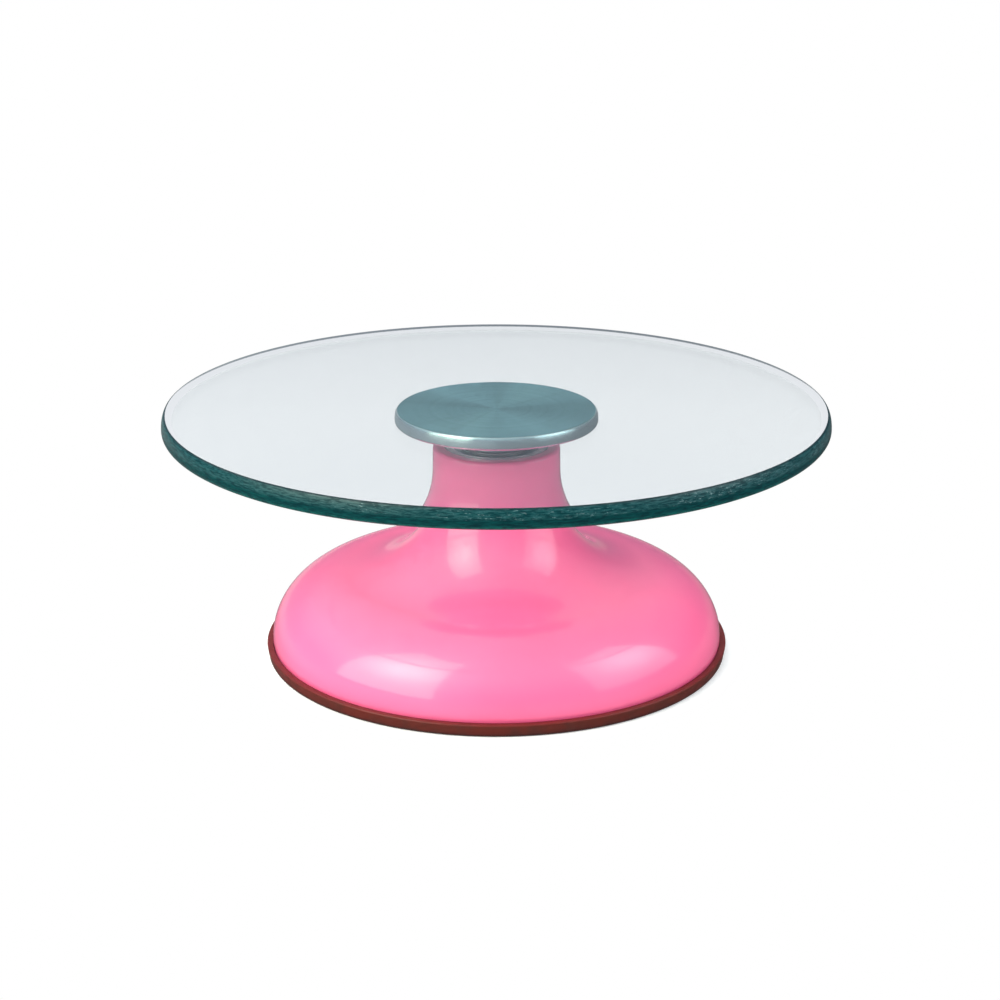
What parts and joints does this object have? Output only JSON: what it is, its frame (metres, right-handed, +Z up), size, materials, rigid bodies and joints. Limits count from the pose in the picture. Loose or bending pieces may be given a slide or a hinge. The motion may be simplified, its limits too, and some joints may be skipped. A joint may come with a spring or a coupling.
{
  "type": "cake turntable",
  "caption": "Round glass cake stand on a wide domed metal foot; the plate turns freely on ball bearings in the neck.",
  "frame": {"origin": "centre of the foot, on the surface the turntable stands on", "axes": "+Z up along the turning axis; the two grub screws lie on the +Y side"},
  "size_m": [0.3, 0.3, 0.1164],
  "materials": {
    "tempered_glass": "clear float glass, ground green edge",
    "clear_adhesive": "clear cured adhesive",
    "turned_aluminium": "fine concentric turning",
    "pink_enamel": "high gloss enamel",
    "brown_rubber": "satin",
    "bearing_steel": "ground and polished",
    "ground_steel": "ground",
    "shield_steel": "pressed sheet, satin",
    "cage_steel": "pressed sheet",
    "spring_steel": "phosphated",
    "black_screw_steel": "black oxide"
  },
  "bodies": {
    "base": {"base_shell": "pink_enamel", "foot_ring": "brown_rubber", "upper_outer_race": "bearing_steel", "upper_shield_top": "shield_steel", "upper_shield_bottom": "shield_steel", "lower_outer_race": "bearing_steel", "lower_shield_top": "shield_steel", "lower_shield_bottom": "shield_steel", "wave_washer": "spring_steel", "seat_circlip": "spring_steel"},
    "turntable": {"glass_plate": "tempered_glass", "bond_film": "clear_adhesive", "hub_flange": "turned_aluminium", "grub_screw_1": "black_screw_steel", "grub_screw_2": "black_screw_steel", "spindle": "ground_steel", "spacer_sleeve": "ground_steel", "hub_shim": "ground_steel", "retaining_washer": "ground_steel", "spindle_circlip": "spring_steel", "upper_inner_race": "bearing_steel", "lower_inner_race": "bearing_steel"},
    "upper_cage": {"upper_cage": "cage_steel", "upper_ball_1": "bearing_steel", "upper_ball_2": "bearing_steel", "upper_ball_3": "bearing_steel", "upper_ball_4": "bearing_steel", "upper_ball_5": "bearing_steel", "upper_ball_6": "bearing_steel", "upper_ball_7": "bearing_steel", "upper_ball_8": "bearing_steel"},
    "lower_cage": {"lower_cage": "cage_steel", "lower_ball_1": "bearing_steel", "lower_ball_2": "bearing_steel", "lower_ball_3": "bearing_steel", "lower_ball_4": "bearing_steel", "lower_ball_5": "bearing_steel", "lower_ball_6": "bearing_steel", "lower_ball_7": "bearing_steel", "lower_ball_8": "bearing_steel"}
  },
  "joints": [
    {"name": "plate_spin", "type": "hinge", "parent": "base", "child": "turntable", "pos_m": [0, 0, 0.095], "axis": [0, 0, 1], "continuous": true},
    {"name": "upper_cage_spin", "type": "hinge", "parent": "base", "child": "upper_cage", "pos_m": [0, 0, 0.083], "axis": [0, 0, 1], "continuous": true},
    {"name": "lower_cage_spin", "type": "hinge", "parent": "base", "child": "lower_cage", "pos_m": [0, 0, 0.037], "axis": [0, 0, 1], "continuous": true}
  ],
  "couplings": [
    {"joint": "upper_cage_spin", "follows": "plate_spin", "ratio": 0.38152},
    {"joint": "lower_cage_spin", "follows": "plate_spin", "ratio": 0.38152}
  ]
}
